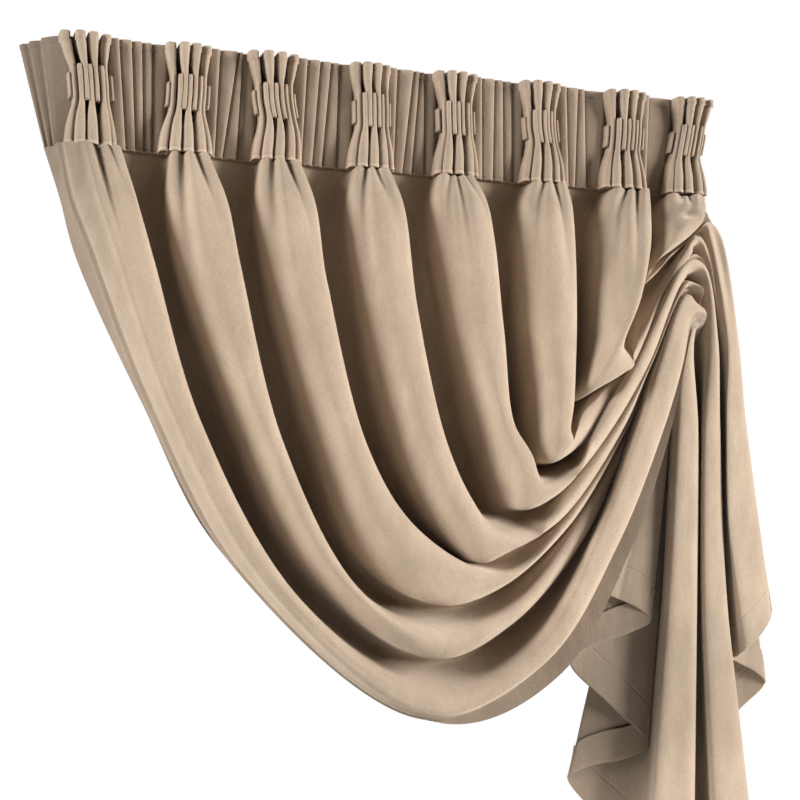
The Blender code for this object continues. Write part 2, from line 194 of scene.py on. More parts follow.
FAN_DEPTH = {
    "leading_edge": (-76, -70, -65, -61, -57),
    "lip_1": (-98, -92, -84, -73, -61),
    "crest_1": (-106, -98, -89, -78, -65),
    "valley_2": (-46, -34, -26, -22, -28),
    "foot_2": (-60, -46, -36, -28, -32),
    "lip_2": (-86, -66, -50, -40, -38),
    "crest_2": (-97, -79, -56, -43, -40),
    "valley_3": (-56, -58, -46, -38, -36),
    "foot_3": (-66, -64, -52, -44, -40),
    "lip_3": (-85, -76, -64, -57, -47),
    "crest_3": (-100, -86, -71, -61, -50),
    "valley_4": (-66, -74, -68, -59, -48),
    "foot_4": (-74, -77, -70, -60, -50),
    "lip_4": (-92, -86, -78, -67, -55),
    "crest_4": (-102, -94, -84, -73, -61),
    "valley_5": (-60, -70, -74, -66, -52),
    "foot_5": (-70, -76, -77, -68, -54),
    "lip_5": (-96, -92, -87, -77, -60),
    "crest_5": (-106, -100, -94, -83, -67),
    "valley_6": (-50, -50, -50, -48, -44),
    "foot_6": (-60, -58, -56, -52, -48),
    "lip_6": (-88, -80, -72, -64, -56),
    "crest_6": (-92, -84, -74, -66, -58),
    "valley_7": (-56, -60, -64, -60, -50),
    "foot_7": (-64, -66, -69, -65, -54),
    "lip_7": (-84, -80, -75, -69, -58),
    "crest_7": (-84, -76, -70, -66, -59),
    "valley_8": (-30, -36, -40, -40, -36),
    "foot_8": (-36, -42, -46, -46, -40),
    "lip_8": (-62, -66, -64, -60, -54),
    "crest_8": (-48, -48, -48, -50, -50),
    "right_edge": (-38, -40, -42, -44, -46),
}

# Where the rolled edge meets the first fold, and how deep the groove between them is

EDGE_FOOT_SHARE = (0.88, 0.88, 0.88, 0.88, 0.88, 0.95, 1.18, 1.18, 1.12, 1.0, 0.95)
EDGE_FOOT_DEPTH = (-10, -28, -40, -52, -68, -99, -68, -62, -58, -56, -54)

# Where a valley and the foot of the next fold lie between two folds, and where and how far a brow stands out

VALLEY_SHARE = (0.20, 0.24, 0.30, 0.32, 0.45, 0.74, 0.62, 0.50, 0.45, 0.45, 0.40)
FOOT_SHARE = (0.95, 0.97, 0.92, 0.84, 0.86, 0.95, 0.97, 0.92, 0.84, 0.78, 0.72)
BROW_SHARE = 0.58
BROW_OUT = (1, 4, 4, 4, 3, 2, 4, 3, 3, 2, 1)

# How far a valley is tucked in under the fold before it

UNDERCUT = {2: (0, 0, 0, 0, 0, 0, 4, 17, 10, 2, 0)}

# Tail lines, each from the swag line it continues: x, y, z over the tie, below it, at a third, at mid fall
# and at the hem

TAIL = {
    "leading_edge": ((440, -46, -329), (448, -16, -347), (407, -24, -443), (356, -28, -568),
                     (304, -32, -691)),
    "foot_1": ((444, -48, -324), (450, -15, -348), (410, -23, -441), (363, -27, -564), (313, -30, -695)),
    "lip_1": ((447, -53, -321), (452, -15, -348), (413, -22, -440), (369, -26, -560), (323, -28, -699)),
    "crest_1": ((449, -58, -309), (456, -14, -350), (421, -22, -430), (402, -24, -540), (377, -25, -730)),
    "lip_2": ((446, -24, -312), (456, -4, -351), (396, -8, -469), (332, -8, -608), (263, -7, -784)),
    "crest_2": ((446, -28, -302), (461, -4, -350), (432, -8, -469), (406, -10, -651), (379, -10, -901)),
    "lip_3": ((446, -34, -294), (460, 4, -350), (403, 6, -497), (335, 10, -691), (268, 12, -940)),
    "crest_3": ((445, -42, -287), (462, 4, -352), (442, 4, -470), (419, 4, -660), (324, 6, -1002)),
    "foot_4": ((443, -46, -284), (434, -10, -350), (420, -10, -470), (402, -12, -688), (365, -10, -1040)),
    "lip_4": ((444, -52, -283), (424, -38, -350), (411, -42, -470), (393, -41, -703), (358, -36, -1060)),
    "brow_4": ((445, -56, -281), (432, -42, -350), (428, -44, -470), (415, -43, -704), (390, -38, -1086)),
    "crest_4": ((446, -58, -278), (441, -38, -350), (447, -37, -470), (442, -36, -704), (428, -33, -1115)),
    "valley_5": ((440, -26, -268), (460, -2, -349), (464, 6, -470), (459, 12, -708), (468, 14, -1122)),
    "foot_5": ((440, -34, -260), (464, -14, -348), (466, -10, -470), (462, -10, -708), (476, 0, -1114)),
    "lip_5": ((444, -52, -254), (464, -38, -347), (453, -41, -470), (449, -40, -706), (468, -34, -1104)),
    "brow_5": ((447, -58, -251), (473, -42, -346), (468, -43, -465), (467, -42, -706), (494, -37, -1086)),
    "crest_5": ((449, -58, -246), (481, -37, -345), (483, -36, -457), (491, -34, -706), (534, -28, -1065)),
    "lip_6": ((446, -46, -240), (488, 2, -346), (489, 12, -468), (495, 24, -682), (507, 30, -910)),
    "crest_6": ((446, -54, -234), (504, -4, -346), (531, 4, -454), (559, 10, -654), (583, 16, -830)),
    "lip_7": ((443, -34, -228), (494, -6, -346), (500, -4, -457), (504, -2, -624), (518, 2, -790)),
    "crest_7": ((449, -54, -214), (491, -20, -345), (498, -20, -457), (500, -20, -622), (515, -16, -786)),
    "foot_8": ((458, -42, -207), (490, -34, -344), (494, -34, -456), (496, -34, -616), (513, -28, -781)),
    "lip_8": ((465, -48, -205), (493, -41, -343), (489, -42, -456), (490, -43, -606), (519, -36, -774)),
    "brow_8": ((474, -43, -200), (504, -40, -342), (507, -40, -455), (514, -41, -603), (544, -35, -755)),
    "crest_8": ((483, -43, -198), (514, -36, -341), (525, -34, -454), (545, -34, -608), (565, -28, -735)),
    "right_edge": ((488, -36, -197), (519, -27, -340), (531, -25, -452), (554, -24, -618), (574, -20, -724)),
}

# Creases (minus) and ridges (plus) that run down from under the clusters: places as shares of the fold
# from its lip to its crest at the top and at the far end, then length, height and half width

CREASE_COLUMNS = ("fold", "share", "end_share", "length", "height", "half_width")
CREASES = (
    (1, 0.62, 0.56, 150, -7.5, 4.5),
    (1, 0.84, 0.94, 110, -6, 4.5),
    (1, 0.05, 0.05, 2600, -4, 3.6),
    (1, 0.47, 0.44, 1600, 5.5, 4.4),
    (2, 0.30, 0.20, 180, -8.5, 4.8),
    (2, 0.48, 0.44, 200, 3.5, 5.0),
    (2, 0.68, 0.88, 190, -7, 5.0),
    (3, 0.30, 0.24, 150, -7.5, 4.5),
    (3, 0.46, 0.42, 240, 4, 5.0),
    (3, 0.68, 0.94, 180, -7.5, 5.0),
    (4, 0.28, 0.18, 170, -8, 4.5),
    (4, 0.62, 0.84, 130, -6.5, 4.8),
    (5, 0.28, 0.22, 130, -6.5, 4.5),
    (5, 0.52, 0.46, 190, -7.5, 4.8),
    (5, 0.80, 0.96, 110, -5.5, 4.5),
    (6, 0.30, 0.26, 150, -6.5, 4.5),
    (6, 0.66, 0.88, 190, -7.5, 5.0),
    (7, 0.34, 0.30, 170, -7.5, 5.0),
    (7, 0.64, 0.70, 190, -8, 5.0),
    (8, 0.34, 0.30, 70, -6.5, 5.0),
    (8, 0.62, 0.50, 90, -7.5, 5.5),
)

# How many columns beside its fold a crease reaches, and how much wider it is at its end

CREASE_BEFORE = 12
CREASE_AFTER = 7
CREASE_SPREAD = 0.8

# Hollows pushed into the gathered cloth by the tie and into the last fold: middle x and z, half sizes
# along and across, turn in degrees, depth

HOLLOW_COLUMNS = ("x", "z", "half_along", "half_across", "turn", "depth")
HOLLOWS = (
    (424, -176, 14, 6, 8, 9),
    (397, -227, 28, 6, 34, 10),
    (441, -223, 10, 5, -22, 13),
    (434, -261, 12, 8, -18, 14),
    (440, -291, 12, 9, -30, 15),
)

# Hems: depth of the bottom hem, width of the side hems, half the cloth's thickness where it turns, how
# deep the stitching's groove is, and the columns of a turned side hem

BOTTOM_HEM = 44.0
SIDE_HEM = 14.0
TURN = 1.3
HEM_GROOVE = 0.9
HEM_COLUMNS = 9

# Turns of a hem's round edge, and where the rows of its inner layer lie: the first, then shares of its width

HEM_TURNS = (36, 72, 108, 144, 180)
HEM_INNER_START = 6.0
HEM_INNER_SHARES = (0.35, 0.7, 1.0)

# Rows by the bottom hem, as distances from its edge, and rows on either side of its stitching

HEM_ROWS = (0, 3, 8, 16, 26, 36)
STITCH_ROWS = (-3, -1.6, 0, 1.6, 3)
ROWS_ABOVE_HEM = (52, 62, 74, 88)
HEM_JOIN = 4.0

# Where the tail's leaves lie, where shade is painted on them: axis (0 is x, 1 is y, 2 is z), from where they
# fade in to where they are whole

LEAF_REACH = ((0, 200.0, 240.0), (0, 440.0, 425.0), (1, -34.0, -28.0), (2, -400.0, -460.0))

# Gathers of the heading that show in the cloth below it: how far down, how much of them, how deep at
# most, how fast they fade, and how they are evened out across

GATHERS_FADE = 60.0
GATHERS_PULL = 0.5
GATHERS_MOST = 2.0
GATHERS_EASE = 1.2
GATHERS_BLUR = (0.25, 0.5, 0.25)

# Rows of the cloth behind the heading, where it is sewn on: z and least y, and how far behind the front
# they lie

BEHIND_HEADING = ((-120.0, 16.0), (-130.0, 14.0), (-136.5, 8.0))
BEHIND_FRONT = 4.0

# How many rows and columns the cloth gets

ROWS_PER_STRETCH = (16, 16, 22, 20, 22, 20, 13, 13, 10, 12, 12, 14, 20, 24, 20)
COLUMNS_AFTER = {"leading_edge": 7, "valley": 5, "foot": 6, "lip": 14, "brow": 10, "crest": 9}

# Heading: sizes and pinch-pleat clusters, as in the frame

HEADING_DROP = 138.0
WAIST_TOP = -40.0
WAIST_FOOT = -84.0
BAND_FLAT = -2.0
CLUSTER_COLUMNS = ("x", "top_w", "waist_w", "foot_w", "lean", "out_top", "out_foot", "slant", "bow")
CLUSTERS = (
    (-388, 62, 50, 60, 7, 32, 34, 2, 2.5),
    (-267, 56, 50, 65, -4, 30, 36, -1, 2.0),
    (-153, 64, 52, 60, 1, 33, 33, 7, -1.0),
    (-25, 50, 47, 58, -2, 30, 34, 2, 2.0),
    (94, 61, 50, 60, -3, 32, 35, 3, 1.5),
    (222, 57, 48, 62, -1, 31, 33, 5, -1.5),
    (347, 60, 55, 67, -6, 33, 36, -2, 3.0),
    (449, 60, 51, 64, -15, 32, 35, -6, 1.0),
)

# Heading's left flap, x and y at its top edge and its foot

FLAP = (
    ((-465, 56), (-438, 8)),
    ((-462, 49), (-437, 6)),
    ((-455, 45), (-433, 7)),
    ((-454.5, 36), (-432.7, 3)),
    ((-449, 31), (-430, 2.5)),
    ((-442, 27), (-427, 3.3)),
    ((-442, 18), (-426.8, -1)),
    ((-437, 12), (-424.5, -1.7)),
    ((-432, 7), (-422, -2)),
)

# Gathers between the clusters: shares of the gap that each one takes at the top and at the foot

GATHERS = (
    ((0.14, 0.22, 0.18, 0.17, 0.29), (0.26, 0.20, 0.17, 0.17, 0.20)),
    ((0.25, 0.41, 0.11, 0.23), (0.14, 0.17, 0.30, 0.39)),
    ((0.17, 0.23, 0.19, 0.14, 0.27), (0.10, 0.20, 0.18, 0.26, 0.26)),
    ((0.20, 0.34, 0.13, 0.10, 0.23), (0.11, 0.20, 0.20, 0.27, 0.22)),
    ((0.13, 0.27, 0.17, 0.19, 0.24), (0.19, 0.22, 0.22, 0.17, 0.20)),
    ((0.15, 0.26, 0.14, 0.45), (0.20, 0.16, 0.29, 0.35)),
    ((0.24, 0.76), (0.20, 0.80)),
)
GATHER_CREST = (-15.0, -13.0, -11.0, -9.0, -7.0)
GATHER_DEEP = 5.0
LAST_GATHER_DEEP = 3.0

# How far the gathers reach in behind the clusters, left and right of a gap, at the top and at the foot

GAP_REACH_TOP = (2, 4)
GAP_REACH_FOOT = (3, 4)

# Points of the band behind a cluster as shares of its width, and steps of the band between its points

BEHIND_CLUSTER = (0.12, 0.5, 0.88)
BAND_STEPS = 6

# Levels of the band and how far it stands proud there: the turned hem, the plain part, the stitched foot

BAND_HEM = ((-26.0, -2.4), (-12.0, -2.4), (-2.0, -2.2), (-0.4, -1.6), (0.0, -0.8), (-0.5, 0.0),
            (-3.0, 0.3), (-8.2, 0.3), (-9.4, -0.5), (-10.6, 0.0))
BAND_PLAIN = (-18.0, -130.0, 16)
BAND_FOOT = ((-133.8, 0.0), (-135.4, -0.6), (-136.6, 0.4), (-138.0, 0.2), (-138.6, -1.4))

# Profile of one gather: share of its width, and how far it stands out of its crease

GATHER_PROFILE = ((0.03, 0.0), (0.14, 0.55), (0.40, 0.85), (0.72, 1.0), (0.93, 0.8), (1.00, 0.15))

# Tubes of a cluster, a row each: place as a share of the width at top, waist and foot, then width at
# top, waist and foot, and how far it stays behind the front; none means that the tube is cut there

TUBES = {
    "left": (-0.40, -0.38, -0.44, 12.4, 6.0, 10.0, 6.0),
    "lower_left": (None, -0.255, -0.25, None, 6.0, 14.6, 1.0),
    "upper_left": (-0.135, -0.13, None, 12.8, 6.0, None, 0.0),
    "lower_mid": (None, 0.0, 0.02, None, 6.0, 14.2, 0.0),
    "upper_right": (0.135, 0.13, None, 12.8, 6.0, None, 0.5),
    "lower_right": (None, 0.255, 0.27, None, 6.0, 13.8, 2.0),
    "right": (0.40, 0.385, 0.44, 12.0, 6.0, 9.5, 6.5),
}

# How uneven the tubes' places are, the thickness of their cloth, where they end at the band, and how
# their plan is rounded and divided

UNEVEN = 1.1
UNEVEN_SEED = 11
CLUSTER_CLOTH = 1.5
CLUSTER_BACK = BAND_FLAT - 1.0
NOSE_LENGTH = 1.15
SIDE_STEPS = 5
NOSE_STEPS = 12
STEPS_BETWEEN_LEVELS = 5

# Levels of a tube above the waist: z, how near its place and its width are to the waist's, and how far
# it is behind its front at the top

UPPER_LEVELS = ((0, 0.0, 0.0, 0), (-14, 0.28, 0.16, 1), (-28, 0.65, 0.54, 3))

# Levels at the waist: z, width as a share of the waist's, front

WAIST_LEVELS = ((WAIST_TOP, 1.04, 28), ((WAIST_TOP + WAIST_FOOT) / 2, 0.98, 27), (WAIST_FOOT, 1.04, 28))

# Levels below the waist: z, how near its place and its width are to the foot's, and how far it is behind
# its front at the foot

LOWER_LEVELS = ((-98, 0.4, 0.5, 4), (-115, 0.85, 0.9, 1), (-131, 1.0, 1.0, 0))

# Rows of a tube's turned hem at the top and of its stitched lip at the foot: z, how much wider, how far back

TUBE_HEM = (
    (-9.0, -3.4, 1.8),
    (-0.7, -3.2, 1.7),
    (0.0, -2.6, 1.4),
    (0.0, -0.8, 0.4),
    (-0.6, 0.0, 0.0),
    (-8.4, 0.0, 0.0),
    (-9.2, -0.7, 0.5),
    (-10.0, 0.0, 0.0),
)
TUBE_HEM_FOOT = -11.0
TUBE_LIP = (
    (-134.2, 0.0, 0.0),
    (-134.8, -0.6, 0.4),
    (-135.6, 0.9, -0.6),
    (-137.6, 1.0, -0.7),
    (-138.6, 0.2, 0.0),
    (-139.0, -1.6, 1.2),
)

# Flat cap of a tube that is cut at the waist: how far past the cut, share of the width, how far back

TUBE_CAP = ((0.0, 0.92, 0.3), (0.1, 0.3, 2.5))

# Small flat slat ends at the sides of the waist

TAB_PLACE = 0.50
TAB_SPAN = (-49.0, -79.0)
TAB_LEVELS = 7
TAB_WIDTH = 4.2
TAB_NOSE = -17.0

# How a cluster leans as a whole, slants most above and below its waist, and bows beside it

LEAN_CENTRE = 0.45
SLANT_ABOVE = 62.0
SLANT_BELOW = 31.0
BOW_START = 20.0
BOW_LENGTH = 84.0

# The cloth between the lower tubes: its levels, share of the foot it fills, its share of that width at its
# top, and how far it stays behind the tubes' front at its foot and more at its top

WEB_LEVELS = (-98.0, -102.0, -108.0, -116.0, -124.0, -132.0, -137.0, -138.8)
WEB_SHARE = 0.95
WEB_TOP_SHARE = 0.8
WEB_BEHIND = 8.0
WEB_FUNNEL = 7.0


def spline_between(before, start, end, after, share):
    """Centripetal Catmull-Rom point between start and end, for arrays of points."""
    def knot(p, q):
        return np.maximum(np.linalg.norm(q - p, axis=-1, keepdims=True), 1e-6) ** 0.5

    t1 = knot(before, start)
    t2 = t1 + knot(start, end)
    t3 = t2 + knot(end, after)
    t = t1 + (t2 - t1) * share
    a1 = (t1 - t) / t1 * before + t / t1 * start
    a2 = (t2 - t) / (t2 - t1) * start + (t - t1) / (t2 - t1) * end
    a3 = (t3 - t) / (t3 - t2) * end + (t - t2) / (t3 - t2) * after
    b1 = (t2 - t) / t2 * a1 + t / t2 * a2
    b2 = (t3 - t) / (t3 - t1) * a2 + (t - t1) / (t3 - t1) * a3
    return (t2 - t) / (t2 - t1) * b1 + (t - t1) / (t2 - t1) * b2


def smooth_along(points, counts):
    """Points on a smooth curve through points (first axis), with counts[i] steps in stretch i."""
    first = 2 * points[0] - points[1]
    last = 2 * points[-1] - points[-2]
    padded = np.concatenate([first[None], points, last[None]])
    rows = []
    for i, count in enumerate(counts):
        for step in range(count):
            rows.append(spline_between(*padded[i:i + 4], step / count))
    rows.append(points[-1])
    return np.array(rows)


def line_kind(name):
    """A line's name without the number of its fold."""
    return name.split("_")[0] if name not in DEPTH else name


def swag_line(name):
    """The station points of one drawn line, with its depth."""
    early = np.array(DEPTH[line_kind(name)], float)
    if name[-1].isdigit():
        early += TUCK.get(int(name[-1]), 0)
    depth = np.concatenate([early, FAN_DEPTH[name]])
    flat = np.array(SWAG[name], float)
    return np.column_stack([flat[:, 0], depth, flat[:, 1]])


def between_folds(kind, share, fold, last, lip):
    """A valley or a foot between one fold's crest and the next one's lip."""
    share = np.array(share)[:, None]
    line = last * (1 - share) + lip * share
    tuck = np.maximum(TUCK.get(fold - 1, 0), TUCK.get(fold, 0))
    line[:, 1] = np.concatenate([DEPTH[kind] + tuck, FAN_DEPTH[f"{kind}_{fold}"]])
    return line


def swag_lines():
    """All lines across the swag in order: edge, then valley, foot, lip, brow and crest of each fold."""
    edge = swag_line("leading_edge")
    share = np.array(EDGE_FOOT_SHARE)[:, None]
    groove = edge * (1 - share) + swag_line("lip_1") * share
    groove[:, 1] = EDGE_FOOT_DEPTH
    lines = {"leading_edge": edge, "foot_1": groove}
    for fold in FOLDS:
        lip = swag_line(f"lip_{fold}")
        crest = swag_line(f"crest_{fold}")
        if fold > 1:
            last = lines[f"crest_{fold - 1}"]
            valley = between_folds("valley", VALLEY_SHARE, fold, last, lip)
            valley[:, 0] += UNDERCUT.get(fold, 0)
            lines[f"valley_{fold}"] = valley
            lines[f"foot_{fold}"] = between_folds("foot", FOOT_SHARE, fold, last, lip)
        brow = lip * (1 - BROW_SHARE) + crest * BROW_SHARE
        brow[:, 1] = np.minimum(crest[:, 1], lip[:, 1]) - np.array(BROW_OUT)
        lines[f"lip_{fold}"] = lip
        lines[f"brow_{fold}"] = brow
        lines[f"crest_{fold}"] = crest
    lines["right_edge"] = swag_line("right_edge")
    return lines


def tail_lines(names):
    """Tail points for every swag line: those in the table, the rest on round folds between them."""
    given = [i for i, name in enumerate(names) if name in TAIL]
    known = np.array([TAIL[names[i]] for i in given], float)
    return smooth_along(known, np.diff(given))


def panel_rows():
    """Every line's points down the whole cloth, as an array of rows by lines."""
    lines = swag_lines()
    points = np.concatenate([list(lines.values()), tail_lines(list(lines))], axis=1)
    return smooth_along(points.transpose(1, 0, 2), ROWS_PER_STRETCH)


def panel_grid():
    """The panel's front surface, with points between each line and the next."""
    grid = smooth_along(panel_rows().transpose(1, 0, 2), column_counts())
    return grid.transpose(1, 0, 2)


def column_counts():
    """How many columns follow each drawn line."""
    return [COLUMNS_AFTER[line_kind(name)] for name in list(swag_lines())[:-1]]


def line_columns():
    """Column of every drawn line."""
    return dict(zip(swag_lines(), np.cumsum([0] + column_counts())))


def distance_along(grid):
    """Distance of every point from the first row, measured along its column."""
    steps = np.linalg.norm(np.diff(grid, axis=0), axis=-1)
    return np.vstack([np.zeros(grid.shape[1]), np.cumsum(steps, axis=0)])


def rows_at(grid, distances):
    """Points of a grid at given distances from its first row, column by column."""
    along = distance_along(grid)
    rows = np.empty((len(distances), grid.shape[1], 3))
    for column in range(grid.shape[1]):
        for axis in range(3):
            rows[:, column, axis] = np.interp(distances, along[:, column], grid[:, column, axis])
    return rows


def press_creases(grid):
    """Soft troughs and ridges that run down from the heading, fold by fold."""
    normals = surface_normals(grid)
    along = distance_along(grid)
    columns = line_columns()
    moved = grid.copy()
    for row in CREASES:
        c = dict(zip(CREASE_COLUMNS, row))
        first = columns[f"lip_{c['fold']}"]
        last = columns[f"crest_{c['fold']}"]
        part = slice(max(first - CREASE_BEFORE, 0), last + CREASE_AFTER)
        share = (np.arange(part.start, part.stop) - first) / (last - first)
        width = np.linalg.norm(grid[:, last] - grid[:, first], axis=-1)[:, None]
        down = along[:, part] / c["length"]
        reached = np.minimum(down, 1)
        centre = c["share"] + (c["end_share"] - c["share"]) * reached
        across = (share[None, :] - centre) * width / (c["half_width"] * (1 + CREASE_SPREAD * reached))
        push = c["height"] * np.exp(-across**2) * np.clip(1 - down, 0, 1)
        moved[:, part] += normals[:, part] * push[..., None]
    return moved


def press_hollows(grid):
    """Soft hollows pushed straight back into the cloth."""
    moved = grid.copy()
    for row in HOLLOWS:
        c = dict(zip(HOLLOW_COLUMNS, row))
        turn = math.radians(c["turn"])
        east = grid[..., 0] - c["x"]
        up = grid[..., 2] - c["z"]
        along = (east * math.cos(turn) + up * math.sin(turn)) / c["half_along"]
        across = (up * math.cos(turn) - east * math.sin(turn)) / c["half_across"]
        moved[..., 1] += c["depth"] * np.exp(-along**2 - across**2)
    return moved


def surface_normals(grid):
    """Unit normals of a grid surface, towards its front."""
    down = np.gradient(grid, axis=0)
    across = np.gradient(grid, axis=1)
    normal = np.cross(down, across)
    length = np.linalg.norm(normal, axis=-1, keepdims=True)
    return normal / np.maximum(length, 1e-9)


def add_node(tree, kind, **settings):
    node = tree.nodes.new(kind)
    for key, value in settings.items():
        setattr(node, key, value)
    return node


def add_bump(tree, height, strength, distance, before=None):
    bump = add_node(tree, "ShaderNodeBump")
    bump.inputs["Strength"].default_value = strength
    bump.inputs["Distance"].default_value = distance
    tree.links.new(height, bump.inputs["Height"])
    if before:
        tree.links.new(before, bump.inputs["Normal"])
    return bump.outputs["Normal"]


def add_noise(tree, place, scale, detail, roughness=0.5):
    noise = add_node(tree, "ShaderNodeTexNoise")
    noise.inputs["Scale"].default_value = scale
    noise.inputs["Detail"].default_value = detail
    noise.inputs["Roughness"].default_value = roughness
    tree.links.new(place, noise.inputs["Vector"])
    return noise.outputs["Fac"]


def multiply(tree, colour, factor):
    """A colour darkened or lightened by a factor."""
    mix = add_node(tree, "ShaderNodeMix", data_type="RGBA", blend_type="MULTIPLY")
    mix.inputs[0].default_value = 1.0
    tree.links.new(colour, mix.inputs[6])
    tree.links.new(factor, mix.inputs[7])
    return mix.outputs[2]


def remap(tree, value, start, end, start_factor, end_factor):
    node = add_node(tree, "ShaderNodeMapRange", interpolation_type="SMOOTHSTEP")
    for i, number in enumerate((start, end, start_factor, end_factor), 1):
        node.inputs[i].default_value = number
    tree.links.new(value, node.inputs[0])
    return node.outputs[0]


def velvet(name, colours, shades, painted_shade_factor=None):
    """Cut pile: mottled where the nap is brushed, fine grain, pile bump and a soft sheen, with painted shade
    and light from the cloth's rows and its mark.
    """
    material = bpy.data.materials.new(name)
    material.use_nodes = True
    tree = material.node_tree
    shader = tree.nodes["Principled BSDF"]
    shader.inputs["Roughness"].default_value = ROUGHNESS
    shader.inputs["Specular IOR Level"].default_value = SPECULAR
    shader.inputs["Sheen Weight"].default_value = SHEEN
    shader.inputs["Sheen Roughness"].default_value = SHEEN_ROUGHNESS
    shader.inputs["Sheen Tint"].default_value = SHEEN_TINT
    place = add_node(tree, "ShaderNodeTexCoord").outputs["Object"]
    nap = add_node(tree, "ShaderNodeMapping")
    nap.inputs["Scale"].default_value = NAP_STRETCH
    tree.links.new(place, nap.inputs["Vector"])
    brushed = add_noise(tree, nap.outputs["Vector"], *NAP)
    grain = add_noise(tree, place, *GRAIN)
    pile = add_noise(tree, place, *PILE)
    light, dark = colours
    ramp = add_node(tree, "ShaderNodeValToRGB")
    ramp.color_ramp.elements[0].position = NAP_DARK_AT
    ramp.color_ramp.elements[0].color = (*dark, 1.0)
    ramp.color_ramp.elements[1].position = NAP_LIGHT_AT
    ramp.color_ramp.elements[1].color = (*light, 1.0)
    tree.links.new(brushed, ramp.inputs["Fac"])
    colour = multiply(tree, ramp.outputs["Color"], remap(tree, grain, *GRAIN_SHADES))
    parts = add_node(tree, "ShaderNodeSeparateXYZ")
    tree.links.new(place, parts.inputs[0])
    # Painted shade and light along the object's axes, row by row
    for axis, *span in shades:
        colour = multiply(tree, colour, remap(tree, parts.outputs[axis], *span))
    # Painted shade where the panel is marked: the leading edge's hem and the tail's leaves
    if painted_shade_factor:
        mark = add_node(tree, "ShaderNodeAttribute", attribute_name=PAINTED_SHADE_MARK)
        colour = multiply(tree, colour, remap(tree, mark.outputs["Fac"], 0.0, 1.0, 1.0, painted_shade_factor))
    tree.links.new(colour, shader.inputs["Base Color"])
    normal = add_bump(tree, brushed, *NAP_BUMP)
    normal = add_bump(tree, grain, *GRAIN_BUMP, normal)
    normal = add_bump(tree, pile, *PILE_BUMP, normal)
    tree.links.new(normal, shader.inputs["Normal"])
    return material


def make_camera():
    data = bpy.data.cameras.new("camera")
    data.sensor_width = SENSOR
    data.lens = CAMERA_LENS
    camera = bpy.data.objects.new("camera", data)
    camera.location = CAMERA_PLACE
    camera.rotation_euler = (math.radians(CAMERA_TILT), 0.0, math.radians(CAMERA_TURN))
    bpy.context.scene.collection.objects.link(camera)
    bpy.context.scene.camera = camera


def make_floor():
    material = bpy.data.materials.new("floor_paint")
    material.use_nodes = True
    tree = material.node_tree
    shader = tree.nodes["Principled BSDF"]
    shader.inputs["Roughness"].default_value = FLOOR_ROUGHNESS
    place = add_node(tree, "ShaderNodeTexCoord").outputs["Object"]
    speckle = remap(tree, add_noise(tree, place, *FLOOR_NOISE), *FLOOR_SHADES)
    pale = add_node(tree, "ShaderNodeRGB")
    pale.outputs[0].default_value = FLOOR_COLOUR
    tree.links.new(multiply(tree, pale.outputs[0], speckle), shader.inputs["Base Color"])
    data = bpy.data.meshes.new("floor")
    half = FLOOR_SIZE / 2
    corners = ((-half, -half), (half, -half), (half, half), (-half, half))
    data.from_pydata([(x, y, FLOOR_LEVEL) for x, y in corners], [], [(0, 1, 2, 3)])
    data.materials.append(material)
    floor = bpy.data.objects.new("floor", data)
    bpy.context.scene.collection.objects.link(floor)


def make_lights():
    for name, azimuth, rise, distance, size, power, colour in LIGHTS:
        data = bpy.data.lights.new(name, "AREA")
        data.shape = "DISK"
        data.size = size
        data.energy = power
        data.color = colour
        light = bpy.data.objects.new(name, data)
        turn = math.radians(azimuth)
        lift = math.radians(rise)
        level = distance * math.cos(lift)
        light.location = (AIM[0] + level * math.sin(turn), AIM[1] - level * math.cos(turn),
                          AIM[2] + distance * math.sin(lift))
        light.rotation_euler = (math.radians(90 - rise), 0.0, turn)
        bpy.context.scene.collection.objects.link(light)


def make_world():
    """Plain white studio round the part, which itself gives only a little light."""
    world = bpy.data.worlds.new("studio")
    bpy.context.scene.world = world
    world.use_nodes = True
    tree = world.node_tree
    tree.nodes.clear()
    path = add_node(tree, "ShaderNodeLightPath")
    seen = add_node(tree, "ShaderNodeBackground")
    seen.inputs["Strength"].default_value = 1.0
    seen.inputs["Color"].default_value = SEEN_COLOUR
    light = add_node(tree, "ShaderNodeBackground")
    light.inputs["Strength"].default_value = AMBIENT
    light.inputs["Color"].default_value = AMBIENT_COLOUR
    mix = add_node(tree, "ShaderNodeMixShader")
    output = add_node(tree, "ShaderNodeOutputWorld")
    tree.links.new(path.outputs["Is Camera Ray"], mix.inputs[0])
    tree.links.new(light.outputs[0], mix.inputs[1])
    tree.links.new(seen.outputs[0], mix.inputs[2])
    tree.links.new(mix.outputs[0], output.inputs["Surface"])


def loft_object(name, lofts, material, thickness=0.0):
    """One smooth object from several lofts, each an array of sections by points in millimetres."""
    points = []
    faces = []
    for loft in lofts:
        rows, columns = loft.shape[:2]
        index = len(points) + np.arange(rows * columns).reshape(rows, columns)
        corners = (index[:-1, :-1], index[1:, :-1], index[1:, 1:], index[:-1, 1:])
        faces.extend(np.stack(corners, axis=-1).reshape(-1, 4).tolist())
        points.extend((loft.reshape(-1, 3) * MM).tolist())
    data = bpy.data.meshes.new(name)
    data.from_pydata(points, [], faces)
    data.materials.append(material)
    data.shade_smooth()
    piece = bpy.data.objects.new(name, data)
    bpy.context.scene.collection.objects.link(piece)
    if thickness:
        solidify = piece.modifiers.new("cloth", "SOLIDIFY")
        solidify.thickness = thickness * MM
        solidify.offset = -1.0
    return piece


def hairpin(z, x, width, nose):
    """A folded tube at one level: from the band up one side, round the nose and back, as points."""
    back = CLUSTER_BACK
    radius = width / 2
    shoulder = min(nose + radius * NOSE_LENGTH, back)
    left = [(x - radius, back + (shoulder - back) * k / SIDE_STEPS, z) for k in range(SIDE_STEPS)]
    turn = [math.pi * k / NOSE_STEPS for k in range(NOSE_STEPS + 1)]
    front = [(x - radius * math.cos(a), shoulder + (nose - shoulder) * math.sin(a), z) for a in turn]
    right = [(x + radius, y, z) for _, y, _ in reversed(left)]
    return left + front + right


